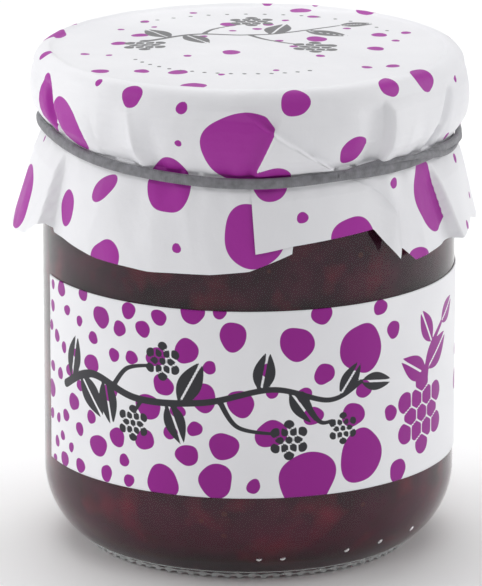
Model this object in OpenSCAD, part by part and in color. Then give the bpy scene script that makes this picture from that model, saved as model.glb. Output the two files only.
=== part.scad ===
// A shut glass jam jar: a straight-sided jar full of jam, a round twist-off lid,
// a paper cover gathered by an elastic band, and a paper label round the body.
// Millimetres, +Z up. The origin is the middle of the ring that the jar stands on.
// Angles round the jar are counted from its front, which faces -Y, and grow towards +X.

/* [Jar] */
// Outside diameter of the glass body
body_d = 72; // [56:0.5:92]
// Height of the glass, from the table to its rim
jar_h = 86.4; // [70:0.2:110]
// Thickness of the side wall
wall = 2.6; // [1.6:0.1:3.6]
// Thickness of the glass floor above the hollow under it
base_t = 3; // [2:0.1:6]
// Height of the shallow hollow under the jar
punt_h = 2; // [0.5:0.1:3]
// Width of the flat ring that the jar stands on
foot_w = 3; // [1.5:0.1:5]
// Radius of the rounded heel
heel_r = 14; // [11:0.5:18]
// Height at which the heel meets the straight wall
heel_z = 13; // [8:0.5:13.5]
// How far the neck stands in from the body
neck_inset = 2.8; // [2:0.1:5]
// Height of the upright neck
neck_h = 11.4; // [10:0.2:16]
// Height of the shoulder between the body and the neck
shoulder_h = 12; // [8:0.5:18]

/* [Jam] */
// Space left between the jam and the rim
headspace = 3.4; // [2:0.1:3.8]

/* [Lid] */
// Height of the lid
lid_h = 9; // [7:0.1:10]
// Thickness of the lid, with its sealing ring
lid_t = 0.8; // [0.5:0.1:1.5]
// Radius of the lid's rounded top edge
lid_round = 2.5; // [1.6:0.1:4]
// Room for the thread, between the neck and the lid
thread_gap = 2.7; // [1.5:0.1:3.5]

/* [Paper cover] */
// Thickness of the paper
paper_t = 0.4; // [0.2:0.05:0.6]
// How far the paper bulges out beyond the lid
puff = 0.6; // [0:0.1:2]
// Length of the loose skirt below the band
skirt_l = 14.4; // [8:0.2:20]
// How far the skirt's edge stands out from the gathered part
flare = 2.5; // [2:0.1:6]
// Depth of the soft folds in the skirt
fold = 0.8; // [0:0.1:1.5]

/* [Band] */
// Height of the elastic band
band_h = 2; // [1.2:0.1:3]
// Thickness of the elastic band
band_t = 1.2; // [0.8:0.1:2]
// How far the front of the band lies below the glass rim
band_drop = 14.5; // [14:0.1:16]
// Room that the gathered paper takes up under the band
gather = 1.05; // [0.5:0.05:2]
// How much higher the band lies where it climbs a pleat at the left
band_rise = 2.6; // [0:0.1:2.7]

/* [Label] */
// Height of the label's lower edge
label_z = 16.8; // [13.5:0.1:20]
// Height of the label
label_h = 32.9; // [15:0.1:36]
// Thickness of the label's paper
label_t = 0.2; // [0.1:0.05:0.4]
// Angle of the label's left end
label_from = -72; // [-120:1:0]
// Angle that the label wraps
label_wrap = 330; // [90:1:350]

/* [Hidden] */

// clearances
jam_gap = 0.05;    // jam to glass
label_gap = 0.05;  // label to glass
cover_gap = 0.3;   // cover to lid and to glass
band_gap = 0.1;    // band to cover

// the jar
body_r = body_d / 2;
foot_out = body_r - heel_r + sqrt(heel_r * heel_r - heel_z * heel_z);
foot_in = foot_out - foot_w;
floor_z = punt_h + base_t;
neck_r = body_r - neck_inset;
neck_z = jar_h - neck_h;
shoulder_z = neck_z - shoulder_h;
rim_round = 0.8;

// the lid
lid_in = neck_r + thread_gap;
lid_r = lid_in + lid_t;
lid_top = jar_h + lid_t;
lid_low = lid_top - lid_h;

// the cover
cover_r = lid_r + cover_gap + paper_t;
cover_top = lid_top + cover_gap + paper_t;
edge_round = lid_round + cover_gap + paper_t;
widest_z = lid_top - 6;
band_z0 = jar_h - band_drop;
waist_h = band_h / 2 + 0.2;
waist_r = shoulder_r(band_z0 - waist_h) + cover_gap + paper_t + gather;
around = 108;

// Flaps and hollows of the skirt's edge: angle, half width, how far out, how far down.
FLAPS = [
    [-92, 13, 3.6, -0.9],  // left corner
    [-66, 7, -0.6, -3.6],  // notch beside it
    [-45, 22, 0.4, 0.4],   // broad left front
    [-8, 14, 0.2, 0.6],    // lowest front edge
    [23, 17, -0.7, -4.6],  // pulled up right front
    [47, 6, 0.8, 0.4],     // small folded point
    [66, 12, 0.4, 1.4],    // right front
    [94, 13, 2.0, 0],      // right corner
    [140, 12, 0.5, -2],
    [180, 18, 1.2, 0.8],
    [-135, 12, 0.3, -1.6],
];

function arc(x, y, r, a0, a1, n) =
    [for (i = [0:n]) let (a = a0 + (a1 - a0) * i / n) [x + r * cos(a), y + r * sin(a)]];
// A smooth hill, one high, at angle c and about w wide to each side.
function hill(a, c, w) = let (d = (a - c + 720) % 360, e = min(d, 360 - d)) exp(-e * e / (w * w));
function total(v) = len(v) == 0 ? 0 : v * [for (x = v) 1];
function shoulder_r(z) =
    let (u = min(1, max(0, (z - shoulder_z) / shoulder_h))) neck_r + neck_inset * (1 + cos(180 * u)) / 2;
function band_z(a) = band_z0 + (1 - hill(a, 0, 25)) + band_rise * hill(a, -78, 28);

// Outline of the glass's inside, out from the middle of its floor and up to the rim.
// It is drawn smaller by g.
function inside(g, top) =
    let (r = heel_r - wall)
    concat(
        [[0, floor_z + g]],
        arc(body_r - heel_r, floor_z + r, r - g, -90, 0, 10),
        [for (i = [0:12])
            let (z = shoulder_z + shoulder_h * i / 12) [shoulder_r(z) - wall - g, z]],
        [[neck_r - wall - g, top]]
    );

module jar() {
    outside = concat(
        [for (i = [0:8]) [foot_in * i / 8, punt_h * (1 - i * i / 64)]],
        arc(body_r - heel_r, heel_z, heel_r, -asin(heel_z / heel_r), 0, 12),
        [for (i = [0:12])
            let (z = shoulder_z + shoulder_h * i / 12) [shoulder_r(z), z]],
        arc(neck_r - rim_round, jar_h - rim_round, rim_round, 0, 90, 4)
    );
    mouth = inside(0, jar_h - rim_round);
    inner_rim = arc(neck_r - wall + rim_round, jar_h - rim_round, rim_round, 180, 90, 4);
    color([0.85, 0.9, 0.9, 0.4])
    rotate_extrude($fn = 96)
        polygon(concat(outside, [for (i = [4:-1:1]) inner_rim[i]], [for (i = [len(mouth) - 1:-1:0]) mouth[i]]));
}

module jam() {
    top = jar_h - headspace;
    color([0.27, 0.1, 0.16])
    rotate_extrude($fn = 96)
        polygon(concat(inside(jam_gap, top), [[0, top]]));
}

module lid() {
    x = lid_r - lid_round;
    z = lid_top - lid_round;
    curl = lid_t / 2;
    color([0.75, 0.75, 0.77])
    rotate_extrude($fn = 96)
        polygon(concat(
            [[0, jar_h], [0, lid_top]],
            arc(x, z, lid_round, 90, 0, 6),
            arc(lid_r - curl, lid_low + curl, curl, 0, -180, 6),
            arc(x, z, lid_round - lid_t, 0, 90, 6)
        ));
}

// The skirt's edge at angle a: how far it stands out from the waist, and its height.
function hem_out(a) =
    flare + total([for (f = FLAPS) f[2] * hill(a, f[0], f[1])])
    + fold * (0.5 + 0.3 * sin(9 * a + 20) + 0.2 * sin(14 * a + 75));
function hem_z(a) =
    band_z0 - waist_h - skirt_l - total([for (f = FLAPS) f[3] * hill(a, f[0], f[1])]);

// Stations down the cover at angle a: radius, height, and the way the paper faces there.
function stations(a) =
    let (bz = band_z(a), top = bz - waist_h, out = hem_out(a), low = hem_z(a))
    concat(
        [for (b = [90, 60, 30, 0])
            [lid_r - lid_round + edge_round * cos(b), lid_top - lid_round + edge_round * sin(b), cos(b), sin(b)]],
        [
            [cover_r + puff * (0.8 + 0.2 * sin(7 * a + 40)), widest_z, 1, 0],
            [cover_r + puff * (0.4 + 0.3 * sin(11 * a)), lid_low - 0.2, 1, 0],
            [waist_r, bz + waist_h, 1, 0],
        ],
        [for (u = [0, 0.25, 0.5, 0.75, 1])
            [waist_r + out * pow(u, 0.7), top + (low - top) * u, 1, 0]]
    );

module cover() {
    step = 360 / around;
    rings = len(stations(0));
    columns = [for (i = [0:around - 1]) stations(i * step)];
    function point(s, a, in) =
        let (r = s[0] - in * s[2]) [r * sin(a), -r * cos(a), s[1] - in * s[3]];
    skin = [for (j = [0:rings - 1]) for (i = [0:around - 1]) point(columns[i][j], i * step, 0)];
    lining = [for (j = [0:rings - 1]) for (i = [0:around - 1]) point(columns[i][j], i * step, paper_t)];
    points = concat([[0, 0, cover_top]], skin, [[0, 0, cover_top - paper_t]], lining);
    inner = 1 + rings * around;
    function at(start, j, i) = start + 1 + j * around + i % around;
    faces = concat(
        [for (i = [0:around - 1]) [0, at(0, 0, i + 1), at(0, 0, i)]],
        [for (i = [0:around - 1]) [inner, at(inner, 0, i), at(inner, 0, i + 1)]],
        [for (j = [0:rings - 2]) for (i = [0:around - 1]) each [
            [at(0, j, i), at(0, j, i + 1), at(0, j + 1, i)],
            [at(0, j, i + 1), at(0, j + 1, i + 1), at(0, j + 1, i)],
            [at(inner, j, i), at(inner, j + 1, i), at(inner, j, i + 1)],
            [at(inner, j, i + 1), at(inner, j + 1, i), at(inner, j + 1, i + 1)],
        ]],
        [for (i = [0:around - 1]) each [
            [at(0, rings - 1, i), at(0, rings - 1, i + 1), at(inner, rings - 1, i)],
            [at(0, rings - 1, i + 1), at(inner, rings - 1, i + 1), at(inner, rings - 1, i)],
        ]]
    );
    color([0.93, 0.92, 0.94])
    polyhedron(points = points, faces = faces);
}

module band() {
    sides = 8;
    turns = 96;
    r = waist_r + band_gap + band_t / 2;
    points = [for (i = [0:turns - 1]) let (a = i * 360 / turns)
        for (k = [0:sides - 1]) let (b = (k + 0.5) * 360 / sides, q = r + 0.5 * band_t * cos(b) / cos(22.5))
            [q * sin(a), -q * cos(a), band_z(a) + 0.5 * band_h * sin(b) / cos(22.5)]];
    faces = [for (i = [0:turns - 1]) for (k = [0:sides - 1])
        let (
            a = i * sides + k,
            b = i * sides + (k + 1) % sides,
            c = ((i + 1) % turns) * sides + k,
            d = ((i + 1) % turns) * sides + (k + 1) % sides
        ) each [[a, b, c], [b, d, c]]];
    color([0.45, 0.45, 0.47])
    polyhedron(points = points, faces = faces);
}

module label() {
    color([0.95, 0.94, 0.97])
    rotate([0, 0, label_from - 90])
    rotate_extrude(angle = label_wrap, $fn = 96)
        translate([body_r + label_gap, label_z])
            square([label_t, label_h]);
}

jar();
jam();
lid();
cover();
band();
label();
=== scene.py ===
# %% [markdown]
# # A jar of jam under a paper cap
# The jar has six things in it: clear glass, the jam, a tin lid, a printed paper cap over the lid,
# a grey elastic that gathers the cap, and a printed label. The sizes come from the CAD frame, so
# the first cell loads that and keeps its box. Everything later is worked out from those boxes.

# %% Load the frame
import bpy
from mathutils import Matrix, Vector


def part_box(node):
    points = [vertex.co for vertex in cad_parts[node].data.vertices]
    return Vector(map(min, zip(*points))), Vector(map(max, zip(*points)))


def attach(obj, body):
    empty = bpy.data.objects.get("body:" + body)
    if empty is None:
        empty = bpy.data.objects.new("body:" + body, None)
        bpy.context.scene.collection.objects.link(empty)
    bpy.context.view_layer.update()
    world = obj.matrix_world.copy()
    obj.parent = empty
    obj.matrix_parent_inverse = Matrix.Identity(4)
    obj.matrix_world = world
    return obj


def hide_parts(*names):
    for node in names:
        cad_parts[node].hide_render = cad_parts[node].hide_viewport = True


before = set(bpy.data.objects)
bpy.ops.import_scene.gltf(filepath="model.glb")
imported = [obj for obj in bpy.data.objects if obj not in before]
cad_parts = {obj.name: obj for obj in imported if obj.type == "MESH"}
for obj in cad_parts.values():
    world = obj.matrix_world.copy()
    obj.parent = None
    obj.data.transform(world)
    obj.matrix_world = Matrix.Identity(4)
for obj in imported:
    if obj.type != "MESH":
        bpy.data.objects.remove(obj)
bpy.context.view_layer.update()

# %% Tools and sizes
import math
import random
import bmesh
import bpy
import numpy as np
from mathutils import Vector, noise

MM = 0.001


def size(node):
    """Lowest and highest corner of a CAD node, in millimetres."""
    low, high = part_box(node)
    return np.array(low) / MM, np.array(high) / MM


glass_high = size("jar")[1]
body_r = glass_high[0]
rim_z = glass_high[2]
lid_low, lid_high = size("lid")
lid_r = lid_high[0]
cap_high = size("cover")[1]
band_low, band_high = size("band")
label_low, label_high = size("label")
print("glass radius", round(body_r, 2), "rim", round(rim_z, 2), "lid radius", round(lid_r, 2))

# %% [markdown]
# ## Camera
# The jar is seen from a little above, through a long lens, so its sides stay almost upright.
# A camera far away with a long focal length gives that without any lens shift.

# %% Camera
SEEN_FROM_ABOVE = 15.1  # degrees
FAR = 900.0  # mm from the jar
SEEN_HEIGHT = 102.8  # mm of the world from the bottom to the top of the view
AIM = (-1.35, 0, 43.25)  # mm, the point at the middle of the view
SENSOR = 36  # mm


def to_side(angle):
    """Unit vector for an angle round the jar: 0 is the front (-Y), 90 is +X."""
    a = math.radians(angle)
    return Vector((math.sin(a), -math.cos(a), 0))


def make_camera():
    aim = Vector(AIM) * MM
    tilt = math.radians(SEEN_FROM_ABOVE)
    camera = bpy.data.objects.new("camera", bpy.data.cameras.new("camera"))
    bpy.context.scene.collection.objects.link(camera)
    camera.location = aim + Vector((0, -math.cos(tilt), math.sin(tilt))) * FAR * MM
    camera.rotation_euler = (aim - camera.location).to_track_quat("-Z", "Y").to_euler()
    camera.data.sensor_width = SENSOR
    camera.data.lens = SENSOR * FAR / SEEN_HEIGHT
    camera.data.clip_start = 0.05
    camera.data.clip_end = 20
    bpy.context.scene.camera = camera
    return camera


camera = make_camera()
print("lens", round(camera.data.lens, 1), "mm")

# %% [markdown]
# ## Studio
# A white tent gives even light with no hard shadow. The world is the tent, and five large soft
# lamps shape the jar: one on each side, a weaker one above, a weak fill in front, and one behind
# that lights the floor. The front stays a touch darker than the sides, which is what makes white
# paper look round.

# %% Floor, world and lamps
def make_floor():
    half, rise, bend, side = 1.7, 1.3, 0.35, 1.6  # metres
    profile = [(-half, 0.0)] + [
        (half - bend + bend * math.sin(t), bend - bend * math.cos(t))
        for t in np.linspace(0, math.pi / 2, 16)
    ] + [(half, rise)]
    points = [(x, y, z) for y, z in profile for x in (-side, side)]
    faces = [(2 * i, 2 * i + 1, 2 * i + 3, 2 * i + 2) for i in range(len(profile) - 1)]
    mesh = bpy.data.meshes.new("floor")
    mesh.from_pydata(points, [], faces)
    mesh.polygons.foreach_set("use_smooth", [True] * len(faces))
    floor = bpy.data.objects.new("floor", mesh)
    bpy.context.scene.collection.objects.link(floor)
    return floor


def soft_lamp(name, place, target, wide, power):
    lamp = bpy.data.objects.new(name, bpy.data.lights.new(name, "AREA"))
    bpy.context.scene.collection.objects.link(lamp)
    lamp.data.shape = "RECTANGLE"
    lamp.data.size, lamp.data.size_y = wide
    lamp.data.energy = power
    lamp.location = place
    lamp.rotation_euler = (Vector(target) - lamp.location).to_track_quat("-Z", "Y").to_euler()
    return lamp


def make_world(strength):
    world = bpy.data.worlds.new("tent")
    world.use_nodes = True
    world.node_tree.nodes["Background"].inputs["Color"].default_value = (1, 1, 1, 1)
    world.node_tree.nodes["Background"].inputs["Strength"].default_value = strength
    bpy.context.scene.world = world


floor = make_floor()
make_world(0.46)
middle = (0, 0, 0.045)
soft_lamp("left_tent", (-0.60, 0.02, 0.24), middle, (0.45, 0.5), 1.6)
soft_lamp("right_tent", (0.60, 0.04, 0.24), middle, (0.4, 0.5), 1.2)
soft_lamp("top_tent", (-0.12, 0.12, 0.75), middle, (0.5, 0.5), 0.8)
soft_lamp("front_fill", (0.0, -0.55, 0.70), middle, (0.6, 0.4), 0.6)
back_lamp = soft_lamp("back_tent", (0.0, 0.42, 0.55), (0.0, 0.30, 0.0), (0.7, 0.4), 0.9)
back_lamp.data.spread = math.radians(110)
bpy.context.scene.view_settings.view_transform = "Standard"
print("studio ready")

# %% [markdown]
# ## Building shapes
# Nearly every piece here is a grid wrapped round the jar, so one helper turns a grid of points
# into a mesh, and a second puts the mesh in the scene as a piece with its material. Points are
# in millimetres until the first helper scales them.

# %% Mesh helpers
def grid_mesh(name, points, close_across=True, cap_first=False, weld=False):
    """A mesh from points[row][column] in mm. Rows run down the piece and columns run round it."""
    points = np.asarray(points, float)
    rows, columns = points.shape[:2]
    row = np.arange(rows - 1)[:, None]
    column = np.arange(columns if close_across else columns - 1)[None, :]
    right = (column + 1) % columns
    quads = np.stack(
        [row * columns + column, (row + 1) * columns + column, (row + 1) * columns + right,
         row * columns + right], -1).reshape(-1, 4)
    verts = points.reshape(-1, 3)
    faces = [tuple(q) for q in quads.tolist()]
    if cap_first:
        faces.append(tuple(range(columns)))
    mesh = bpy.data.meshes.new(name)
    mesh.from_pydata((verts * MM).tolist(), [], faces)
    if weld:
        shell = bmesh.new()
        shell.from_mesh(mesh)
        bmesh.ops.remove_doubles(shell, verts=shell.verts, dist=1e-7)
        shell.to_mesh(mesh)
        shell.free()
    mesh.polygons.foreach_set("use_smooth", [True] * len(mesh.polygons))
    mesh.update()
    return mesh


def place(name, mesh, material, slot, node=None):
    """Puts a mesh in the scene as a piece of the jar."""
    piece = bpy.data.objects.new(name, mesh)
    bpy.context.scene.collection.objects.link(piece)
    mesh.materials.append(material)
    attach(piece, "root")
    if node:
        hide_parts(node)
    print(f"{name}: {len(mesh.vertices)} points, {len(mesh.polygons)} faces")
    return piece


def arc(x, z, r, start, end, steps):
    """Points on an arc, as (radius, height) pairs."""
    return [(x + r * math.cos(t), z + r * math.sin(t))
            for t in np.radians(np.linspace(start, end, steps + 1))]


def lathe(outline, steps):
    """Spins an outline of (radius, height) pairs round the jar's axis."""
    turn = np.arange(steps) * 2 * math.pi / steps
    outline = np.asarray(outline, float)
    return np.stack([
        outline[:, :1] * np.sin(turn), -outline[:, :1] * np.cos(turn),
        np.repeat(outline[:, 1:], steps, 1)], -1)


def wrap(radius, angle, z):
    a = np.radians(angle)
    return np.stack(np.broadcast_arrays(radius * np.sin(a), -radius * np.cos(a), z), -1)


def hill(angle, centre, width):
    """A smooth hill, one high, round the jar."""
    away = np.abs((np.asarray(angle) - centre + 180) % 360 - 180)
    return np.exp(-(away / width) ** 2)


print("mesh helpers ready")

# %% [markdown]
# ## Materials
# A material is a small network of nodes. The helpers below start a Principled shader, link
# sockets and add a bump, so that each material's own cell only says what is special about it.
# The fine grain is used by the papers and the elastic alike, so it is one shader group with
# its own inputs and outputs.

# %% Node helpers
def new_material(name, **plain):
    """A Principled material with plain socket values, given as socket_name=value."""
    material = bpy.data.materials.new(name)
    material.use_nodes = True
    shader = material.node_tree.nodes["Principled BSDF"]
    for key, value in plain.items():
        shader.inputs[key.replace("_", " ").title().replace("Ior", "IOR")].default_value = value
    return material, material.node_tree, shader


def add(tree, kind, **settings):
    """A node of this kind. Lower-case settings are its options; inputs is a dict of socket values."""
    node = tree.nodes.new(kind)
    inputs = settings.pop("inputs", {})
    for key, value in settings.items():
        setattr(node, key, value)
    for key, value in inputs.items():
        node.inputs[key].default_value = value
    return node


def ramp(tree, source, stops):
    """A colour ramp over a value: stops are (place, colour)."""
    node = add(tree, "ShaderNodeValToRGB")
    while len(node.color_ramp.elements) < len(stops):
        node.color_ramp.elements.new(0.5)
    for element, (where, colour) in zip(node.color_ramp.elements, stops):
        element.position = where
        element.color = (*colour, 1)
    tree.links.new(source, node.inputs["Fac"])
    return node.outputs["Color"]


def mix(tree, share, first, second):
    """Blends two colours, each a socket or a colour, by a share, which is a socket or a number."""
    node = add(tree, "ShaderNodeMix", data_type="RGBA")
    for socket, value in ((node.inputs[0], share), (node.inputs[6], first), (node.inputs[7], second)):
        if isinstance(value, bpy.types.NodeSocket):
            tree.links.new(value, socket)
        elif isinstance(value, (int, float)):
            socket.default_value = value
        else:
            socket.default_value = (*value, 1)
    return node.outputs[2]


def math_node(tree, operation, first, second=0.0, clamp=False):
    node = add(tree, "ShaderNodeMath", operation=operation, use_clamp=clamp)
    for socket, value in ((node.inputs[0], first), (node.inputs[1], second)):
        if isinstance(value, bpy.types.NodeSocket):
            tree.links.new(value, socket)
        else:
            socket.default_value = value
    return node.outputs[0]


def srgb(red, green, blue):
    """A screen colour, 0 to 255, as the linear colour that shaders use."""
    def one(v):
        v /= 255
        return v / 12.92 if v <= 0.04045 else ((v + 0.055) / 1.055) ** 2.4
    return tuple(one(v) for v in (red, green, blue))


print("node helpers ready")

# %% Fine grain, shared by the papers and the elastic
def make_grain():
    group = bpy.data.node_groups.new("fine_grain", "ShaderNodeTree")
    face = group.interface
    for name, value in (("Grain Size", 900.0), ("Mottle Size", 60.0), ("Mottle", 0.5)):
        socket = face.new_socket(name=name, in_out="INPUT", socket_type="NodeSocketFloat")
        socket.default_value = value
    face.new_socket(name="Height", in_out="OUTPUT", socket_type="NodeSocketFloat")
    face.new_socket(name="Mottle", in_out="OUTPUT", socket_type="NodeSocketFloat")
    inside, outside = group.nodes.new("NodeGroupInput"), group.nodes.new("NodeGroupOutput")
    where = add(group, "ShaderNodeTexCoord")
    fine = add(group, "ShaderNodeTexNoise", inputs={"Detail": 4.0, "Roughness": 0.6})
    broad = add(group, "ShaderNodeTexNoise", inputs={"Detail": 3.0, "Roughness": 0.5})
    for node, name in ((fine, "Grain Size"), (broad, "Mottle Size")):
        group.links.new(where.outputs["Object"], node.inputs["Vector"])
        group.links.new(inside.outputs[name], node.inputs["Scale"])
    spread = math_node(group, "MULTIPLY", math_node(group, "SUBTRACT", broad.outputs["Fac"], 0.5),
                       inside.outputs["Mottle"])
    group.links.new(fine.outputs["Fac"], outside.inputs["Height"])
    group.links.new(spread, outside.inputs["Mottle"])
    return group


fine_grain = make_grain()


def grain(tree, fine, broad, mottle):
    node = add(tree, "ShaderNodeGroup", node_tree=fine_grain,
               inputs={"Grain Size": fine, "Mottle Size": broad, "Mottle": mottle})
    return node.outputs["Height"], node.outputs["Mottle"]


def bump(tree, shader, height, depth, strength=1.0, under=None):
    node = add(tree, "ShaderNodeBump", inputs={"Distance": depth * MM, "Strength": strength})
    tree.links.new(height, node.inputs["Height"])
    if under is not None:
        tree.links.new(under, node.inputs["Normal"])
    if shader is not None:
        tree.links.new(node.outputs["Normal"], shader.inputs["Normal"])
    return node.outputs["Normal"]


def floor_material():
    material, tree, shader = new_material("pale_floor", base_color=(0.95, 0.95, 0.95, 1), roughness=0.7)
    height, _ = grain(tree, 300.0, 4.0, 0.1)
    bump(tree, shader, height, 0.05, 0.2)
    return material


floor.data.materials.append(floor_material())
print("materials started")

# %% [markdown]
# ## The glass
# A jam jar is pressed in a mould. It has a narrow ring to stand on, a hollow under it, a round
# heel, straight walls and a shoulder. Spinning an outline round the axis gives that shape with
# smooth walls, which matters because glass bends the light at every facet. Small things make it
# read as real glass: fine grip marks pressed into the standing ring, a knurled ring and a bead
# at the foot, and a row of raised mould dots low on the heel.

# %% Outline of the glass
WALL = 2.6
HEEL_R = 14.0
HEEL_Z = 13.0
FLOOR_Z = 5.0
HOLLOW = 2.0
NECK_IN = 2.8
NECK_H = 11.4
SHOULDER_H = 12.0
foot_out = body_r - HEEL_R + math.sqrt(HEEL_R ** 2 - HEEL_Z ** 2)
foot_in = foot_out - 3.0
neck_z = rim_z - NECK_H
shoulder_z = neck_z - SHOULDER_H
neck_r = body_r - NECK_IN


def heel_radius(z):
    """Outside radius of the glass at a height on its round heel."""
    return body_r - HEEL_R + math.sqrt(HEEL_R ** 2 - (HEEL_Z - z) ** 2)


def shoulder(z):
    """Outside radius of the glass at a height above the heel."""
    share = np.clip((np.asarray(z, float) - shoulder_z) / SHOULDER_H, 0, 1)
    return neck_r + NECK_IN * (1 + np.cos(math.pi * share)) / 2


def inner_outline(inset, top):
    """The inside of the glass from the middle of its floor to a height, drawn smaller by inset."""
    r = HEEL_R - WALL
    points = [(0.0, FLOOR_Z + inset), (8.0, FLOOR_Z + inset), (16.0, FLOOR_Z + inset)]
    points += arc(body_r - HEEL_R, FLOOR_Z + r, r - inset, -90, 0, 24)
    points += [(body_r - WALL - inset, z) for z in np.linspace(FLOOR_Z + r + 4, shoulder_z - 4, 8)]
    points += [(float(shoulder(z)) - WALL - inset, z) for z in np.linspace(shoulder_z, neck_z, 14)]
    points += [(neck_r - WALL - inset, top)]
    return points


def glass_outline():
    outside = [(foot_in * t, HOLLOW * (1 - t * t)) for t in np.linspace(0, 0.94, 10)]
    outside += arc(foot_in + 0.9, 0.9, 0.9, 225, 270, 3)
    outside += [(foot_out - 0.9, 0.0)]
    start = -math.degrees(math.asin(HEEL_Z / HEEL_R))
    outside += arc(body_r - HEEL_R, HEEL_Z, HEEL_R, start + 3, 0, 28)
    outside += [(body_r, z) for z in np.linspace(HEEL_Z + 4, shoulder_z - 4, 10)]
    outside += [(float(shoulder(z)), z) for z in np.linspace(shoulder_z, neck_z, 16)]
    outside += arc(neck_r - 0.8, rim_z - 0.8, 0.8, 0, 90, 5)
    inside = arc(neck_r - WALL + 0.8, rim_z - 0.8, 0.8, 90, 180, 5)
    return outside + inside + inner_outline(0, rim_z - 2)[::-1]


outline = glass_outline()
print("outline points", len(outline))


# %% Glass with its grip marks and mould dots
def press_marks(points):
    """Lifts the underside of the standing ring into grip marks."""
    radius = np.hypot(points[..., 0], points[..., 1])
    angle = np.degrees(np.arctan2(points[..., 0], -points[..., 1]))
    z = points[..., 2]
    outer = radius > np.interp(z, [0, 4, 13], [0, foot_out - 1, body_r - 2])
    ring = outer * np.exp(-((z - 0.5) / 0.7) ** 2) * (radius > foot_out - 2.5)
    ticks = np.clip(np.sin(np.radians(angle * 60)) * 2, -1, 1)
    points[..., 2] += 0.16 * ring * (1 + ticks) * (z > -0.01)
    return points


def make_glass():
    material, tree, shader = new_material(
        "clear_glass", base_color=(0.97, 0.99, 0.985, 1), roughness=0.0, ior=1.45)
    shader.inputs["Transmission Weight"].default_value = 1.0
    height, _ = grain(tree, 35.0, 20.0, 0.2)
    bump(tree, shader, height, 0.05, 0.12)
    points = press_marks(lathe(outline[::-1], 480))
    mesh = grid_mesh("glass", points, weld=True)
    return place("glass_jar", mesh, material, "glass", "jar")


glass = make_glass()


# Angle round the jar and height of each dot.
DOTS = ((3, 5.0), (10, 5.0), (30, 5.3), (42, 5.6), (56, 6.0), (-150, 5.0), (-162, 5.0), (175, 5.2))
DOT_R = 0.6
DOT_LIFT = 0.4
DOT_SUNK = 0.25  # mm that a dot's foot lies inside the glass
DOT_SIDES = 14
DOT_RINGS = 4


def make_dots():
    """The small raised dots that the mould leaves on the heel."""
    verts, faces = [], []
    for angle, z in DOTS:
        r = heel_radius(z)
        normal = (to_side(angle) * (r - body_r + HEEL_R) + Vector((0, 0, z - HEEL_Z))).normalized()
        centre = to_side(angle) * r + Vector((0, 0, z)) - normal * DOT_SUNK
        side = normal.cross(Vector((0, 0, 1))).normalized()
        up = side.cross(normal)
        first = len(verts)
        for ring in range(DOT_RINGS + 1):
            lift = DOT_LIFT * math.cos(ring / DOT_RINGS * math.pi / 2)
            out = DOT_R * math.sin((ring + 0.15) / (DOT_RINGS + 0.15) * math.pi / 2)
            for k in range(DOT_SIDES):
                t = k / DOT_SIDES * 2 * math.pi
                spoke = side * math.cos(t) + up * math.sin(t)
                verts.append(tuple((centre + normal * lift + spoke * out) * MM))
        faces.append(tuple(first + k for k in range(DOT_SIDES)))
        for ring in range(DOT_RINGS):
            for k in range(DOT_SIDES):
                a = first + ring * DOT_SIDES + k
                b = first + ring * DOT_SIDES + (k + 1) % DOT_SIDES
                faces.append((a, a + DOT_SIDES, b + DOT_SIDES, b))
        faces.append(tuple(first + DOT_RINGS * DOT_SIDES + k for k in reversed(range(DOT_SIDES))))
    mesh = bpy.data.meshes.new("mould_dots")
    mesh.from_pydata(verts, [], faces)
    mesh.polygons.foreach_set("use_smooth", [True] * len(faces))
    return place("mould_dots", mesh, glass.data.materials[0], "glass")


make_dots()


# Name, height, half width outward, half width upward, and how deeply it is knurled, from 0 to 1.
FOOT_RINGS = (("foot_knurl", 0.62, 0.42, 0.55, 1.0), ("foot_bead", 1.75, 0.16, 0.14, 0.0))
KNURLS = 84


def make_foot():
    """The knurled ring at the foot and a fine bead above it, both left a little frosted."""
    material, tree, shader = new_material(
        "frosted_foot", base_color=(0.9, 0.93, 0.92, 1), roughness=0.25, ior=1.45)
    shader.inputs["Transmission Weight"].default_value = 0.55
    height, _ = grain(tree, 900.0, 200.0, 0.3)
    bump(tree, shader, height, 0.05, 0.5)
    for name, z, half_out, half_up, knurl in FOOT_RINGS:
        angle = (np.arange(720) / 2)[None, :]
        b = np.radians(np.arange(10) * 36)[:, None]
        swell = 1 - 0.55 * knurl * np.clip(0.5 - 1.2 * np.sin(np.radians(angle) * KNURLS), 0, 1)
        out = heel_radius(z) - 0.1 + half_out * swell * np.cos(b)
        points = wrap(out, angle, z + half_up * np.sin(b) * swell)
        mesh = grid_mesh(name, np.concatenate([points, points[:1]])[::-1], weld=True)
        place(name, mesh, material, "glass")


make_foot()

# %% [markdown]
# ## The jam
# Berry jam is dark and glossy. Light goes a millimetre or two into it and comes back red where a
# piece of fruit lies near the glass, and seeds show as small pale grains. The jam fills the jar,
# so its skin is the inside of the glass, drawn a hair larger: it must reach just into the wall,
# or a silver film of air would show between the two. The fruit is colour, and the seeds are a
# scatter of tiny spots, because nothing of it stands out from the glass. Towards the bottom the
# jam is painted lighter and redder: a painted glow for the light that comes up through the base.

# %% Jam
INTO_GLASS = 0.12


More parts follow.
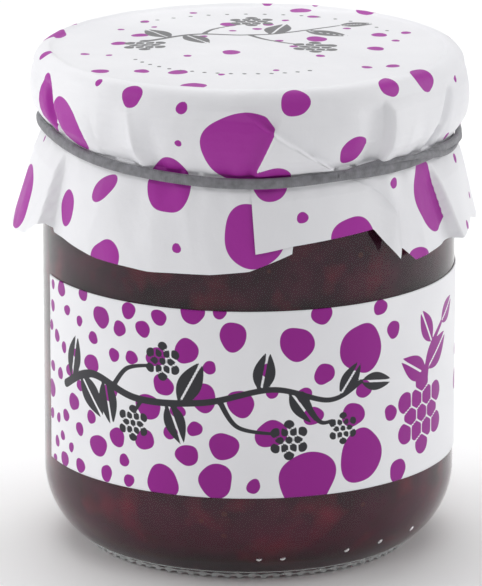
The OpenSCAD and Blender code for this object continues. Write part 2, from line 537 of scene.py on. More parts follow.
def jam_material():
    material, tree, shader = new_material("berry_jam", roughness=0.4, specular_ior_level=0.05)
    where = add(tree, "ShaderNodeTexCoord").outputs["Object"]
    pulp = add(tree, "ShaderNodeTexNoise", inputs={"Scale": 95.0, "Detail": 3.0, "Roughness": 0.55})
    lumps = add(tree, "ShaderNodeTexNoise", inputs={"Scale": 130.0, "Detail": 3.0, "Roughness": 0.45})
    seeds = add(tree, "ShaderNodeTexVoronoi", inputs={"Scale": 260.0, "Randomness": 1.0})
    for node in (pulp, lumps, seeds):
        tree.links.new(where, node.inputs["Vector"])
    dark = ramp(tree, pulp.outputs["Fac"], [
        (0.35, (0.036, 0.003, 0.014)), (0.5, (0.066, 0.005, 0.026)), (0.65, (0.11, 0.008, 0.036))])
    fruit = ramp(tree, lumps.outputs["Fac"], [(0.52, (0, 0, 0)), (0.76, (1, 1, 1))])
    split = add(tree, "ShaderNodeSeparateXYZ")
    tree.links.new(where, split.inputs["Vector"])
    # Painted glow: below 22 mm the jam's colour is blended, up to 40 % at its floor, towards a lighter
    # red that stands in for light coming up through the glass base.
    low = add(tree, "ShaderNodeMapRange", inputs={
        "From Min": 0.002, "From Max": 0.022, "To Min": 0.4, "To Max": 0.0})
    tree.links.new(split.outputs["Z"], low.inputs["Value"])
    jam_with_painted_glow = mix(tree, low.outputs["Result"], dark, (0.17, 0.007, 0.035))
    body = mix(tree, fruit, jam_with_painted_glow, (0.24, 0.008, 0.035))
    grain_mask = ramp(tree, seeds.outputs["Distance"], [(0.10, (1, 1, 1)), (0.16, (0, 0, 0))])
    chosen = add(tree, "ShaderNodeSeparateColor")
    tree.links.new(seeds.outputs["Color"], chosen.inputs["Color"])
    few = math_node(tree, "GREATER_THAN", chosen.outputs["Red"], 0.72)
    share = math_node(tree, "MULTIPLY", grain_mask, math_node(tree, "MULTIPLY", few, 0.3))
    tree.links.new(mix(tree, share, body, (0.24, 0.05, 0.03)), shader.inputs["Base Color"])
    bump(tree, shader, lumps.outputs["Fac"], 0.3, 0.3)
    return material


def make_jam():
    top = rim_z - 3.4
    outline = inner_outline(-INTO_GLASS, top) + [(20.0, top), (0.0, top)]
    mesh = grid_mesh("jam", lathe(outline[::-1], 256), weld=True)
    return place("jam_filling", mesh, jam_material(), "jam", "jam")


make_jam()

# %% [markdown]
# ## The lid
# A tin lid lies under the paper. Its shape is right as it comes, so it keeps its own mesh and
# only gets a finish: lacquered tin with a faint brushed mottle.

# %% Lid finish
def tin_material():
    material, tree, shader = new_material("lacquered_tin", metallic=1.0)
    height, mottle = grain(tree, 700.0, 80.0, 0.3)
    tint = math_node(tree, "ADD", mottle, 0.5, clamp=True)
    tree.links.new(ramp(tree, tint, [(0.3, (0.55, 0.55, 0.57)), (0.7, (0.72, 0.72, 0.74))]),
                   shader.inputs["Base Color"])
    tree.links.new(math_node(tree, "ADD", math_node(tree, "MULTIPLY", mottle, 0.4), 0.32),
                   shader.inputs["Roughness"])
    bump(tree, shader, height, 0.01, 0.3)
    return material


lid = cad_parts["lid"]
lid.data.materials.clear()
lid.data.materials.append(tin_material())
print("lid finished")

# %% [markdown]
# ## Printing
# The cap and the label carry printed shapes: round spots, and a berry sprig. A picture would need
# an image, so instead each point of the mesh stores how far it lies from the nearest printed edge,
# in millimetres, less than nothing inside. The material then only asks whether that number is
# below zero, and the edge comes out sharp because the distance runs evenly between the points.

# %% Distance to printed shapes
def spot_distance(across, up, wide, tall, tilt=0.0, seed=1):
    """Distance to an uneven round spot. across and up are mm from its centre."""
    a = math.radians(tilt)
    x = across * math.cos(a) + up * math.sin(a)
    y = up * math.cos(a) - across * math.sin(a)
    t = np.arctan2(y / tall, x / wide)
    edge = (1 + 0.05 * np.sin(2 * t + seed) + 0.045 * np.sin(3 * t + 2.3 * seed)
            + 0.015 * np.sin(5 * t + seed))
    return (np.hypot(x / wide, y / tall) / edge - 1) * min(wide, tall)


def leaf_distance(x, y, base, way, length, width):
    """A pointed leaf with a bare vein down its middle. way is its direction in degrees."""
    a = math.radians(way)
    u = ((x - base[0]) * math.cos(a) + (y - base[1]) * math.sin(a)) / length
    v = (y - base[1]) * math.cos(a) - (x - base[0]) * math.sin(a)
    half = width * np.sin(math.pi * np.clip(u, 0, 1) ** 0.8)
    leaf = np.maximum(np.abs(v) - half, np.abs(u - 0.5) * length - length / 2)
    vein = 0.2 - np.abs(v) + 0.6 * np.clip(u - 0.75, 0, 1)
    return np.maximum(leaf, vein)


def stem_distance(x, y, points, thick):
    """A smooth stem through a few points, thinner at its end."""
    ends = np.array(points, float)
    t = np.linspace(0, len(ends) - 1, 12 * len(ends))
    k = np.clip(t.astype(int), 0, len(ends) - 2)
    f = (t - k)[:, None]
    before, start, stop = ends[np.maximum(k - 1, 0)], ends[k], ends[k + 1]
    after = ends[np.minimum(k + 2, len(ends) - 1)]
    line = 0.5 * (2 * start + (stop - before) * f + (2 * before - 5 * start + 4 * stop - after) * f ** 2
                  + (3 * start - before - 3 * stop + after) * f ** 3)
    nearest = np.full(x.shape, 1e3)
    for i in range(len(line) - 1):
        step = line[i + 1] - line[i]
        along = ((x - line[i, 0]) * step[0] + (y - line[i, 1]) * step[1]) / max(step @ step, 1e-9)
        along = np.clip(along, 0, 1)
        away = np.hypot(x - line[i, 0] - along * step[0], y - line[i, 1] - along * step[1])
        nearest = np.minimum(nearest, away - thick * (1 - 0.5 * i / len(line)))
    return nearest


def berry_distance(x, y, centre, r):
    """A berry drawn as a cluster of round drupelets with thin bare lines between them."""
    first, second = np.full(x.shape, 1e3), np.full(x.shape, 1e3)
    for row in range(-2, 3):
        for k in range(-2, 3):
            cx, cy = (k + 0.5 * (row % 2)) * 0.5 * r, row * 0.44 * r
            if math.hypot(cx, cy) < 0.95 * r:
                away = np.hypot(x - centre[0] - cx, y - centre[1] - cy)
                first, second = np.minimum(first, away), np.minimum(np.maximum(first, away), second)
    return np.maximum(first - 0.31 * r, 0.15 - (second - first) / 2)


def nearest_of(distances, like):
    nearest = np.full(like.shape, 50.0)
    for distance in distances:
        nearest = np.minimum(nearest, distance)
    return np.clip(nearest, -5, 5)


def store(mesh, name, values):
    attribute = mesh.attributes.new(name, "FLOAT", "POINT")
    attribute.data.foreach_set("value", np.ravel(values).astype(np.float32))


def scatter(seed, count, across, up, smallest, largest, gap, taken=()):
    """Uneven spots thrown at random without touching: a list of (across, up, wide, tall, tilt)."""
    dice = random.Random(seed)
    spots = []
    for _ in range(count * 40):
        if len(spots) >= count:
            break
        r = smallest + (largest - smallest) * dice.random() ** 1.8
        x, y = dice.uniform(*across), dice.uniform(*up)
        if all(math.hypot(x - s[0], y - s[1]) > r + s[2] + gap for s in [*spots, *taken]):
            spots.append((x, y, r, r * dice.uniform(0.85, 1.15), dice.uniform(0, 90)))
    return spots


print("printing tools ready")

# %% Paper material
def paper_material(name, spot_colour, ink_colour, gloss, wrinkle):
    """White printed paper: purple spots, a second ink, a fine grain and a plain white back."""
    material, tree, shader = new_material(name, specular_ior_level=0.3)
    height, mottle = grain(tree, 1400.0, 45.0, 0.5)
    white = ramp(tree, math_node(tree, "ADD", mottle, 0.5), [
        (0.35, srgb(232, 232, 236)), (0.65, srgb(243, 243, 246))])
    colour = white
    for print_name, ink in (("spots", spot_colour), ("ink", ink_colour)):
        edge = add(tree, "ShaderNodeAttribute", attribute_name=print_name)
        inside = add(tree, "ShaderNodeMapRange", clamp=True, inputs={
            "From Min": 0.035, "From Max": -0.035, "To Min": 0.0, "To Max": 1.0})
        tree.links.new(edge.outputs["Fac"], inside.inputs["Value"])
        shade = ramp(tree, math_node(tree, "ADD", mottle, 0.5), [
            (0.3, tuple(0.9 * v for v in ink)), (0.7, tuple(min(1, 1.1 * v) for v in ink))])
        colour = mix(tree, inside.outputs["Result"], colour, shade)
    back = add(tree, "ShaderNodeNewGeometry")
    colour = mix(tree, back.outputs["Backfacing"], colour, srgb(228, 228, 232))
    tree.links.new(colour, shader.inputs["Base Color"])
    tree.links.new(math_node(tree, "ADD", math_node(tree, "MULTIPLY", mottle, 0.12), gloss),
                   shader.inputs["Roughness"])
    folds = add(tree, "ShaderNodeTexNoise", inputs={"Scale": 120.0, "Detail": 5.0, "Roughness": 0.55})
    tree.links.new(add(tree, "ShaderNodeTexCoord").outputs["Object"], folds.inputs["Vector"])
    soft = bump(tree, None, folds.outputs["Fac"], wrinkle, 0.35)
    bump(tree, shader, height, 0.015, 0.3, under=soft)
    return material


CAP_PURPLE = srgb(166, 46, 158)
LABEL_PURPLE = srgb(148, 22, 140)
CHARCOAL = srgb(48, 48, 53)
GREY = srgb(118, 118, 120)
cap_paper = paper_material("cap_paper", CAP_PURPLE, GREY, 0.42, 0.9)
label_paper = paper_material("label_paper", LABEL_PURPLE, CHARCOAL, 0.34, 0.12)
print("papers ready")

# %% [markdown]
# ## The paper cap
# The cap is one round sheet, cut about 138 mm across, laid on the lid and gathered under it. Where
# the flat circle meets the narrow neck there is far too much paper, so it lies in pleats: sharp
# ledges where one layer lies on the next, deep grooves where two puffs meet, and rolls where the
# skirt stands away. Cloth simulation makes soft folds, and paper folds are sharp, so the sheet is
# a grid of rings whose radius is worked out from named folds. One folded layer lies outside it.

# %% Shape of the gathered sheet
CORNER_R = 3.2  # mm, how round the paper lies over the lid's edge
corner_x = lid_r - 2.5
corner_z = lid_high[2] - 2.5
band_z0 = band_low[2] + 1.0
waist_half = 1.2  # mm, half the height of the part that the elastic holds
waist_r = band_high[0] - 1.3
SKIRT = 15.0  # mm, the depth over which the skirt's folds open


def band_line(angle):
    """Height of the elastic round the jar: it climbs over the pleat at the left."""
    return band_z0 + (1 - hill(angle, 0, 25)) + 2.6 * hill(angle, -78, 28)


# Each fold: its kind, angle at its top, angle at its foot and width in degrees, and its depth at
# its top and at its foot in mm.
UPPER_FOLDS = [
    ("groove", -66, -59, 1.8, 0.8, 3.0), ("roll", -55, -50, 8, 0.0, 0.9),
    ("roll", -76, -70, 9, 0.1, 0.8), ("ledge_right", -64, -58, 7, 0.0, 0.5),
    ("ridge", -33, -29, 2.0, 0.3, 1.7), ("groove", -27, -25, 2.6, 0.0, 0.7),
    ("groove", -39, -37, 4, 0.0, 0.6), ("ridge", -42, -43, 1.6, 0.0, 0.4),
    ("groove", -12, -13, 6, 0.0, 0.35), ("ledge_left", -2, 23, 14, 0.9, 1.8),
    ("ledge_right", 8.3, 1.25, 5, 0.3, 0.8), ("groove", 7, 0, 1.5, 0.1, 0.6),
    ("groove", 34, 34, 4, 0.6, 1.6), ("ledge_right", 38, 37.5, 12, 1.1, 1.8),
    ("ridge", 47, 44, 1.8, 0.0, 0.4), ("groove", 66.5, 57, 1.9, 1.0, 3.0),
    ("roll", 76, 72, 9, 0.2, 0.8), ("groove", 52, 51, 3, 0.0, 0.5), ("groove", 98, 101, 2.4, 0.3, 1.6),
    ("ledge_left", 124, 117, 9, 0.3, 0.9), ("ridge", 150, 147, 3, 0.2, 0.9),
    ("groove", 172, 176, 2, 0.3, 1.8), ("ledge_right", -158, -163, 10, 0.3, 0.9),
    ("ridge", -147, -143, 2, 0.1, 0.7), ("groove", -136, -131, 2.2, 0.3, 1.8),
    ("ridge", -116, -118, 3, 0.2, 0.8), ("groove", -97, -99, 2, 0.3, 1.5),
    ("ridge", 112, 108, 2, 0.1, 0.6), ("ledge_left", 84, 88, 6, 0.1, 0.6),
]
SKIRT_FOLDS = [
    ("ledge_left", -60.3, -61.8, 45, 0.6, 2.4), ("roll", -82, -88, 20, 0.1, 1.3),
    ("groove", -58, -57, 4, 0.6, 0.3), ("groove", -30, -33, 5, 0.6, 0.2),
    ("ridge", -42, -46, 6, 0.4, 0.2), ("ridge", -18, -14, 5, 0.3, 0.1),
    ("ledge_right", 58, 66.5, 13, 0.8, 2.0), ("groove", 56, 64, 2.5, 0.6, 0.6),
    ("ridge", 51, 53, 3, 0.2, 0.4), ("roll", 118, 122, 13, 0.4, 2.0),
    ("ledge_left", 150, 146, 12, 0.4, 1.0), ("roll", -178, -184, 14, 0.3, 1.8),
    ("groove", -150, -152, 3, 0.6, 0.7), ("ledge_right", -134, -130, 12, 0.4, 1.2),
    ("ridge", -118, -121, 4, 0.3, 0.8),
]
LEDGE_STEP = 0.9  # degrees over which a ledge steps up
LEDGE_PROUD = 1.3  # height of a ledge at its edge, as a share of its depth


def fold_lift(folds, angle, down):
    """How far the folds push the paper out, in mm. down runs from 0 at their top to 1 at their foot."""
    lift = np.zeros(np.broadcast(angle, down).shape)
    for kind, top, foot, width, deep_top, deep_foot in folds:
        centre = top + (foot - top) * down
        deep = deep_top + (deep_foot - deep_top) * down ** 1.4
        off = (angle - centre + 180) % 360 - 180
        if kind == "groove":
            lift -= deep * np.exp(-(off / width) ** 2)
        elif kind == "ridge":
            lift += deep * np.exp(-np.abs(off) / width)
        elif kind == "roll":
            lift += deep * np.sqrt(np.clip(np.cos(math.pi / 2 * np.clip(off / width, -1, 1)), 0, 1))
        else:
            off = off if kind == "ledge_right" else -off
            step = np.clip(off / LEDGE_STEP + 0.5, 0, 1)
            lift += (LEDGE_PROUD * deep * np.exp(-np.clip(off, 0, None) / width)
                     * step ** 2 * (3 - 2 * step))
    return lift


def gathers(angle, away):
    """Fine pleats beside the elastic, fading with the distance away from it in mm."""
    a = np.radians(angle)
    ripple = np.sin(47 * a + 2 * np.sin(5 * a)) + 0.7 * np.sin(29 * a + 3 * np.sin(7 * a + 1))
    return 0.16 * ripple * (0.4 + 0.6 * np.sin(3 * a + 2) ** 2) * np.exp(-away / 2.6)


def skirt_radius(angle, depth):
    """Radius of the loose skirt at a depth below the gathered part, in mm."""
    down = np.clip(depth / SKIRT, 0, 1.2)
    a = np.radians(angle)
    out = 2.3 + 0.35 * np.sin(5 * a + 0.4) + 0.2 * np.sin(11 * a + 1.3)
    out = out + 1.3 * hill(angle, 95, 14) - 0.3 * hill(angle, 25, 16)
    lift = fold_lift(SKIRT_FOLDS, angle, down) * np.clip(down * 4, 0, 1)
    return waist_r + out * down ** 0.75 + lift + gathers(angle, depth)


# Height of the skirt's cut edge at angles round the jar.
HEM = [
    (-180, 57.0), (-160, 58.2), (-140, 56.4), (-122, 58.6), (-108, 57.4), (-98, 57.0), (-88, 57.3),
    (-75, 57.7), (-68, 58.2), (-63, 60.4), (-61.6, 60.7), (-60.6, 59.2), (-43, 56.9), (-27, 56.1),
    (-10, 56.4), (0, 57.2), (11.2, 60.0), (11.8, 63.5), (40.4, 64.0), (41.6, 59.4), (44.5, 58.2),
    (49, 55.8), (60, 56.8), (71, 57.8), (81, 58.6), (88, 57.2), (97, 57.4), (112, 59.5), (124, 57.0),
    (150, 55.8), (165, 58.0), (180, 57.0),
]


def hem(angle):
    return np.interp(angle, [h[0] for h in HEM], [h[1] for h in HEM])


def crumple(points, amount, scale, drawn=0.4):
    """Fine sharp dents, as in paper pressed by hand, drawn out up and down."""
    flat = points.reshape(-1, 3) * (1, 1, drawn) / scale
    out = np.array([0.5 - abs(noise.noise(Vector(p))) for p in flat.tolist()])
    return (out - out.mean()).reshape(points.shape[:-1]) * amount


SEAM = 165  # folds further round from the front than this, in degrees, aren't followed
APART = 3  # degrees that two folds must lie apart for the columns to follow both
SKIRT_SLANT = 1.04  # the skirt's columns slant a little more than its folds, to meet its ledge


def follow(folds, even, down):
    """Slants the columns of the grid so that they run along the folds. down has one value per row."""
    kept = [f for f in folds if f[0] != "roll" and abs(f[1] + f[2]) < 2 * SEAM]
    kept.sort(key=lambda f: f[1] + f[2])
    chosen = [f for i, f in enumerate(kept) if all(
        abs(f[k] - other[k]) > APART and (f[k] - other[k]) * (f[3 - k] - other[3 - k]) > 0
        for other in kept[:i] + kept[i + 1:] for k in (1, 2))]
    start = [-180, *((f[1] + f[2]) / 2 for f in chosen), 180]
    return np.stack([
        np.interp(even, start, [-180, *(f[1] + (f[2] - f[1]) * share for f in chosen), 180])
        for share in down])


# The cap's side between the lid's corner, 0, and the elastic, 1: how far it bulges there in mm.
BULGE_AT = [0, 0.15, 0.3, 0.45, 0.6, 0.75, 0.88, 1]
BULGE = [0, 0.4, 0.6, 0.6, 0.4, -0.1, -0.8, -1.65]


def cap_sheet(columns=580):
    """Points of the sheet, ring by ring from its middle, and each ring's unrolled height."""
    even = np.arange(columns) * 360 / columns - 180
    v = np.linspace(0, 1, 38)[1:, None]
    above = follow(UPPER_FOLDS, even, v[:, 0])
    u = np.linspace(0, 1, 46)[1:, None]
    below = follow(SKIRT_FOLDS, even, SKIRT_SLANT * u[:, 0])
    rho = np.linspace(0.3, corner_x, 62)[:, None]
    on_lid = even + (above[0] - even) * rho / corner_x
    dish = (0.25 * np.cos(rho / corner_x * math.pi)
            + 0.1 * np.sin(np.radians(on_lid) * 3 + 1) * rho / corner_x)
    rows = [(on_lid, rho + 0 * on_lid, cap_high[2] - 0.3 + dish * (rho < corner_x - 0.1),
             corner_z + CORNER_R * math.pi / 2 + corner_x - rho + 0 * on_lid)]
    b = np.radians(np.linspace(84, 0, 12))[:, None] + 0 * even
    rows.append((above[0] + 0 * b, corner_x + CORNER_R * np.cos(b), corner_z + CORNER_R * np.sin(b),
                 corner_z + CORNER_R * b))
    foot = band_line(above) + waist_half
    z = corner_z + (foot - corner_z) * v
    side = corner_x + CORNER_R + np.interp(v, BULGE_AT, BULGE)
    side = side + fold_lift(UPPER_FOLDS, above, v) * np.clip(v * 7, 0, 1) * (
        1 - 0.5 * np.clip(v * 4 - 3, 0, 1))
    side = side + gathers(above + 11, z - foot)
    rows.append((above, side, z, z))
    w = np.linspace(0, 1, 6)[:, None]
    waist = above[-1] + (below[0] - above[-1]) * w
    z = band_line(waist) + waist_half * (1 - 2 * w)
    rows.append((waist, waist_r - 0.1 + 0 * z, z, z))
    start = band_line(below) - waist_half
    z = start + (hem(below) - start) * u
    rows.append((below, skirt_radius(below, start - z), z, z))
    return tuple(np.concatenate([r[k] for r in rows]) for k in range(4))


angle, radius, cap_z, unrolled = cap_sheet()
print("cap grid", radius.shape)

# %% Printed spots of the cap
# Print is laid out on a cylinder of one radius. The few large spots come first, each with its
# angle round the jar, unrolled height, half width, half height and tilt. The small ones are
# scattered between them.
PRINT_R = 38  # mm
MAIN_SPOTS = [
    (-32, 86, 2, 2, 0), (12, 86, 2.5, 2.5, 0), (40, 87, 2, 2, 0), (54, 87, 2.5, 2.5, 0),
    (28, 77, 3, 2, 40), (-66, 81, 2.5, 5, 10), (-54, 79, 5.5, 3, -45), (-22, 71, 4, 5, 0),
    (6, 72, 3.5, 3, 10), (1, 63, 5, 5.5, 0), (-78, 63, 6, 5, -10), (-56, 64, 2, 3, 0),
    (-42, 69, 3.5, 1.5, 40), (-40, 57, 3, 3.5, 0), (50, 56, 2.5, 2, 0),
]
# Spots on the folded layer that lies over the front right of the skirt.
FLAP_SPOTS = [(6, 72, 3.5, 3, 10), (14, 66, 1, 1, 0), (28, 62, 4, 3.5, 0)]
TOP_SPOTS = [spot for spot in scatter(31, 46, (-31, 31), (-31, 31), 0.6, 2.2, 2.2)
             if math.hypot(spot[0], spot[1]) < 32]


def side_print(angle, unrolled, spots):
    """Distance in mm to the nearest spot of the cap's side."""
    return nearest_of((
        spot_distance(np.radians((angle - a + 180) % 360 - 180) * PRINT_R, unrolled - z,
                      wide, tall, tilt, i)
        for i, (a, z, wide, tall, tilt) in enumerate(spots)), unrolled)


def cap_motif(x, y):
    """A small sprig of berries for the middle of the cap, and a ring of small dots round it."""
    shapes = [stem_distance(x, y, [(-17, 4), (-9, 9), (0, 8), (8, 11), (16, 17)], 0.55),
              stem_distance(x, y, [(0, 8), (4, 3), (9, 0)], 0.45),
              stem_distance(x, y, [(-8, 9), (-6, 14), (-1, 18)], 0.45)]
    for base, way, length, width in (
            ((-14, 6.4), 118, 9, 2.1), ((-11, 8.3), -62, 9, 2.0), ((4, 9), 75, 10, 2.3),
            ((10, 12), -30, 9, 2.0), ((16, 17), 20, 7, 1.7)):
        shapes.append(leaf_distance(x, y, base, way, length, width))
    for centre, r in (((11.5, -1.5), 3.6), ((0.5, 20.5), 3.6), ((-18, 0.5), 3.4)):
        shapes.append(berry_distance(x, y, centre, r))
    for a in list(range(-62, 30, 6)) + list(range(118, 230, 7)):
        r = 22.0 if a < 90 else 27.5
        t = math.radians(a)
        shapes.append(np.hypot(x - r * math.sin(t), y + r * math.cos(t)) - 0.42)
    return nearest_of(shapes, x)


# Spots whose right side is hidden under a fold: the spot, and heights and angles of the fold.
FOLDED_SPOTS = [
    ((-2, 78.6, 6.9, 6.0, 0), (71.5, 74.4, 81.7, 84.6), (0.6, 2.1, 6.6, 3.4)),
    ((57.6, 66.3, 4.8, 6.7, 20), (56.6, 71.5), (66.0, 57.5)),
]


def folded_spots(angle, unrolled):
    """Distance to the spots that a fold cuts off."""
    return nearest_of((
        np.maximum(side_print(angle, unrolled, [spot]),
                   np.radians(angle - np.interp(unrolled, heights, angles)) * PRINT_R)
        for spot, heights, angles in FOLDED_SPOTS), unrolled)


def print_cap(mesh, points, angle, unrolled, on_top):
    x, y = points[..., 0], points[..., 1]
    flat = nearest_of((spot_distance(x - cx, y - cy, wide, tall, tilt, i)
                       for i, (cx, cy, wide, tall, tilt) in enumerate(TOP_SPOTS)), x)
    side = side_print(angle, unrolled, SIDE_SPOTS + BACK_SPOTS)
    side = np.minimum(side, folded_spots(angle, unrolled))
    store(mesh, "spots", np.where(on_top, np.minimum(flat, side), side))
    store(mesh, "ink", np.where(on_top, cap_motif(x, y), 5.0))


def side_scatter(seed, count, across, smallest, largest, gap, taken=()):
    """Scattered spots for the cap's side, each given as the large ones are."""
    found = scatter(seed, count, across, (56, 88.5), smallest, largest, gap, taken)
    return [(math.degrees(x / PRINT_R), up, wide, tall, tilt) for x, up, wide, tall, tilt in found]


large = [(math.radians(a) * PRINT_R, z, max(wide, tall)) for a, z, wide, tall, tilt in MAIN_SPOTS]
large += [(math.radians(spot[0]) * PRINT_R, spot[1], max(spot[2:4]))
          for spot, heights, angles in FOLDED_SPOTS]
BACK_SPOTS = side_scatter(7, 70, (64, 170), 0.8, 4.4, 1.5)
SIDE_SPOTS = MAIN_SPOTS + side_scatter(9, 16, (-56, 60), 0.6, 1.4, 2.4, large)
print("spots on the cap:", len(TOP_SPOTS) + len(SIDE_SPOTS) + len(BACK_SPOTS))


# %% The cap
PAPER_OFF_LID = 0.15  # mm that the dented paper stays clear of the lid, so that no tin shows through


def make_cap():
    points = wrap(radius, angle, cap_z)
    dents = crumple(points, 0.35, 9.0) + crumple(points, 0.12, 3.5)
    loose = np.interp(unrolled, [50, band_z0 - 4, band_z0, band_z0 + 4, corner_z, corner_z + 12, 200],
                      [1.0, 0.6, 0.1, 0.9, 0.6, 0.4, 0.3])
    on_top = unrolled > corner_z + 4
    out = radius + np.where(on_top, 0, dents * loose)
    high = cap_z + np.where(on_top, dents * loose, 0)
    beside_lid = (cap_z <= corner_z) & (cap_z > lid_low[2] - 0.5)
    print("before it is kept off the lid, the paper's least gap is",
          round(float((high[on_top] - lid_high[2]).min()), 2), "mm above and",
          round(float((out[beside_lid] - lid_r).min()), 2), "mm beside it")
    out = np.where(beside_lid, np.maximum(out, lid_r + PAPER_OFF_LID), out)
    high = np.where(on_top, np.maximum(high, lid_high[2] + PAPER_OFF_LID), high)
    points = wrap(out, angle, high)
    mesh = grid_mesh("cap", points, cap_first=True)
    print_cap(mesh, points, angle, unrolled, unrolled > corner_z + 1)
    return place("paper_cap", mesh, cap_paper, "cover_paper", "cover")


cap = make_cap()

# %% [markdown]
# A second layer of the same paper is folded over the front right of the skirt. Its left edge is
# straight and upright, its lower corner is square, and a small pointed corner hangs down at its
# right, where its edge runs up under the elastic on a slant. It is a grid of its own, a little
# outside the skirt.

# %% Folded layer
FLAP_HEM = [(0, 60.2), (2, 60.3), (11.5, 61.3), (34, 62.8), (41.4, 57.0), (42.5, 61.5)]


def make_flap():
    u = np.linspace(0, 1, 110)[None, :]
    v = np.linspace(0, 1, 60)[:, None]
    left = 0.4 + 1.2 * v
    right = 27 + 15 * np.clip(v / 0.5, 0, 1)
    angle = left + (right - left) * u
    start = band_line(angle) - 0.6
    foot = np.interp(angle, [h[0] for h in FLAP_HEM], [h[1] for h in FLAP_HEM])
    z = start + (foot - start) * v
    depth = np.clip(band_line(angle) - waist_half - z, 0, 20)
    lift = 0.3 + 0.45 * hill(angle, 1.5, 5) * v + 0.9 * hill(angle, 41, 3.5) * v ** 2
    lift = lift + 1.0 * np.exp(-(1 - u) / 0.09) * np.clip(1.15 - v, 0, 1)
    out = skirt_radius(angle, depth) + lift * np.clip(depth / 2, 0.05, 1)
    flap_points = wrap(out, angle, z)
    dents = crumple(flap_points, 0.25, 8.0)
    flap_points = wrap(out + dents * np.clip(depth / 4, 0, 1), angle, z)
    mesh = grid_mesh("cap_flap", flap_points, close_across=False)
    store(mesh, "spots", side_print(angle, z, FLAP_SPOTS))
    store(mesh, "ink", 5.0 + 0 * z)
    return place("cap_flap", mesh, cap_paper, "cover_paper")


flap = make_flap()

# %% [markdown]
# ## The elastic
# A flat grey elastic goes once round the jar. At the front it lies flat; towards the right it
# turns over on itself, so it looks like two thin strands there. It is a flat section swept round
# the jar: the section rolls over where the band twists, and a second, thinner strand joins it.

# %% Elastic
def band_material():
    material, tree, shader = new_material("grey_elastic", roughness=0.75)
    shader.inputs["Sheen Weight"].default_value = 0.25
    height, mottle = grain(tree, 2600.0, 900.0, 0.6)
    tree.links.new(ramp(tree, math_node(tree, "ADD", mottle, 0.5), [
        (0.3, srgb(98, 98, 102)), (0.7, srgb(140, 140, 145))]), shader.inputs["Base Color"])
    along = add(tree, "ShaderNodeAttribute", attribute_name="along")
    ribs = math_node(tree, "SINE", math_node(tree, "MULTIPLY", along.outputs["Fac"], 18.0))
    woven = math_node(tree, "ADD", math_node(tree, "MULTIPLY", ribs, 0.35), height)
    bump(tree, shader, woven, 0.06, 0.6)
    return material


grey_elastic = band_material()


def strand(name, start, stop, tall, thick, turn, radius_at, height_at, closed):
    """A flat strand round the jar. turn is how far its section has rolled over, in degrees."""
    steps = int(abs(stop - start) * 2.2)
    angle = np.linspace(start, stop, steps, endpoint=not closed)[None, :]
    b = np.radians(np.arange(16) * 22.5)[:, None]
    x, y = np.sign(np.cos(b)) * np.abs(np.cos(b)) ** 0.6 * thick / 2, np.sin(b) * tall / 2
    t = np.radians(turn(angle))
    out = x * np.cos(t) - y * np.sin(t)
    up = x * np.sin(t) + y * np.cos(t)
    points = wrap(radius_at(angle) + out, angle, height_at(angle) + up)
    points = np.concatenate([points, points[:1]])[::-1]
    mesh = grid_mesh(name, points, close_across=closed)
    store(mesh, "along", np.radians(angle) * PRINT_R + 0 * points[..., 0])
    return place(name, mesh, grey_elastic, "band_elastic", "band" if closed else None)


def twist_zone(angle):
    return np.clip((angle - 22) / 8, 0, 1) * np.clip((92 - angle) / 8, 0, 1)


strand("elastic_band", -180, 180, 1.85, 1.1,
       lambda a: 22 * np.sin(np.radians(a * 9)) * twist_zone(a) + 4 * np.sin(np.radians(a * 5)),
       lambda a: waist_r + 0.62 + 0.15 * twist_zone(a),
       lambda a: band_line(a) + 0.25 * twist_zone(a) * np.sin(np.radians(a * 7)), True)
strand("elastic_strand", 24, 96, 1.3, 0.9,
       lambda a: a * 6,
       lambda a: waist_r + 0.85 + 0.35 * np.sin(np.radians(a * 8)) * twist_zone(a),
       lambda a: band_line(a) + 0.95 * np.sin(np.radians((a - 24) * 5.2)), False)

# %% [markdown]
# ## The label
# The label is one strip of coated paper, 33 mm tall, wrapped almost all the way round. A gap
# at the left shows the bare glass. Spots fill it from fine at the left end to large at the
# right, and a berry sprig runs across the front. It is a fine grid, so that printed edges are crisp.

# %% Label print
LABEL_FROM = -72.0
LABEL_WRAP = 330.0
# The large spots: angle round the jar, height above the label's foot, half width, half height.
LARGE_LABEL_SPOTS = [
    (16, 3, 5, 5), (32, 6, 4, 5), (32, 25, 4, 4.5), (13, 27, 3, 3), (-24, 2, 3, 3), (-9, 3, 3, 3)]
# The rest are scattered in bands that grow coarser to the right: from angle, to angle, count,
# smallest, largest.
LABEL_BANDS = [
    (-6, 46, 16, 1.1, 3.0), (-30, -6, 16, 1.2, 2.8), (-50, -30, 14, 1.1, 2.2), (-71, -50, 26, 0.9, 1.6)]


def label_spots():
    """Every spot of the label's front, in mm round the jar and above the label's foot."""
    spots = [(math.radians(a) * body_r, up, wide, tall, 0) for a, up, wide, tall in LARGE_LABEL_SPOTS]
    tall = label_high[2] - label_low[2]
    for seed, (start, stop, count, smallest, largest) in enumerate(LABEL_BANDS, 41):
        across = (math.radians(start) * body_r, math.radians(stop) * body_r)
        spots += scatter(seed, count, across, (0, tall), smallest, largest, 0.9, spots)
    return spots


# The sprigs are drawn in millimetres, with y counted so that the label's foot is at SPRIG_FOOT.
SPRIG_FOOT = 15.8
SIDE_SPRIG_AT = 57  # degrees round the jar


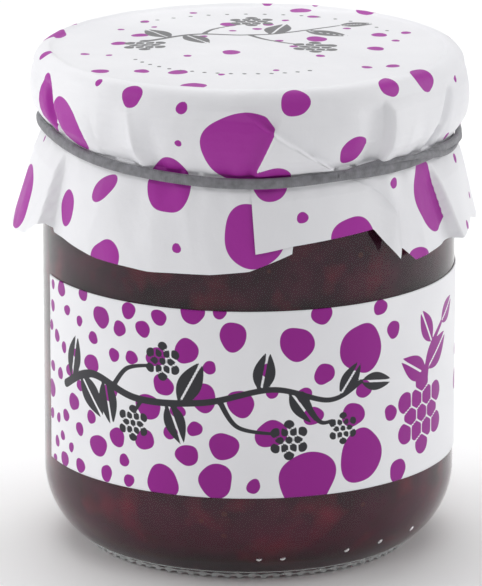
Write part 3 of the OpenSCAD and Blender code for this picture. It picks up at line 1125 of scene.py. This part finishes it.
def front_sprig(x, y):
    """The charcoal sprig across the front. x is mm round the jar from the front."""
    main_stem = [(-38, 31), (-30, 34.5), (-20, 32), (-8, 32.5), (4, 35), (14, 32.5), (20, 35)]
    shapes = [stem_distance(x, y, main_stem, 0.75),
              stem_distance(x, y, [(-25, 33.4), (-22, 37), (-17.5, 38.2)], 0.5),
              stem_distance(x, y, [(-5, 33), (-2, 28.5), (4, 27.2)], 0.5),
              stem_distance(x, y, [(9, 34), (12, 29), (14.5, 28.8)], 0.5)]
    for base, way, length, width in (
            ((-36, 32.6), 78, 8.5, 2.0), ((-33, 33.8), -50, 9.0, 2.1), ((-27, 34.2), -78, 8.5, 2.0),
            ((-12, 32.1), 62, 9.0, 2.1), ((-14, 32.0), -70, 8.0, 1.9), ((2, 34.7), 80, 7.5, 1.9),
            ((7, 34.6), -55, 7.5, 1.7), ((16, 33.2), 55, 7.0, 1.6), ((20, 35), -8, 7.0, 1.6)):
        shapes.append(leaf_distance(x, y, base, way, length, width))
    for centre, r in (((-15, 39.2), 2.9), ((6.8, 26.0), 3.0), ((-20.8, 27.5), 2.7), ((16.5, 27.2), 2.4)):
        shapes.append(berry_distance(x, y, centre, r))
    shapes.append(stem_distance(x, y, [(-19, 32), (-20.5, 29.5)], 0.45))
    return nearest_of(shapes, x)


def side_sprig(x, y):
    """The purple berry and its leaves at the right. x is mm round the jar from SIDE_SPRIG_AT."""
    shapes = [berry_distance(x, y, (-1.0, 26.5), 6.2),
              stem_distance(x, y, [(0, 32), (1.5, 37), (6, 41)], 0.8)]
    for base, way, length, width in (
            ((0.2, 33), 150, 8.5, 2.2), ((0.8, 34), 35, 9, 2.3), ((2.2, 38.5), 120, 7.5, 1.9),
            ((6, 41), 30, 7, 1.8)):
        shapes.append(leaf_distance(x, y, base, way, length, width))
    return nearest_of(shapes, x)


def label_sheet():
    columns = int(body_r * math.radians(LABEL_WRAP) / 0.29)
    angle = (LABEL_FROM + np.linspace(0, LABEL_WRAP, columns))[None, :]
    low, high = label_low[2], label_high[2]
    z = np.linspace(high, low, 116)[:, None]
    out = body_r + 0.2 + 0.02 * np.sin(np.radians(angle) * 17 + z * 0.3)
    z = np.concatenate([[[high - 0.03]], z, [[low + 0.03]]])
    edge = np.full((1, columns), body_r + 0.03)
    return angle, z + 0 * angle, np.concatenate([edge, out, edge])


label_angle, label_z, label_out = label_sheet()
print("label grid", label_z.shape)


# %% The label
def make_label():
    mesh = grid_mesh("label", wrap(label_out, label_angle, label_z), close_across=False)
    x = np.radians(label_angle) * body_r + 0 * label_z
    spots = [(across, label_low[2] + up, *rest) for across, up, *rest in label_spots()]
    beyond = (math.radians(82) * body_r, math.radians(250) * body_r)
    spots += scatter(11, 60, beyond, (label_low[2] + 1, label_high[2] - 1), 1.0, 4.2, 1.2)
    printed = nearest_of((spot_distance(x - sx, label_z - sz, wide, tall, tilt, i)
                          for i, (sx, sz, wide, tall, tilt) in enumerate(spots)), x)
    up = label_z - label_low[2] + SPRIG_FOOT
    printed = np.minimum(printed, side_sprig(x - math.radians(SIDE_SPRIG_AT) * body_r, up))
    store(mesh, "spots", printed)
    store(mesh, "ink", front_sprig(x, up))
    return place("paper_label", mesh, label_paper, "label_paper", "label")


make_label()
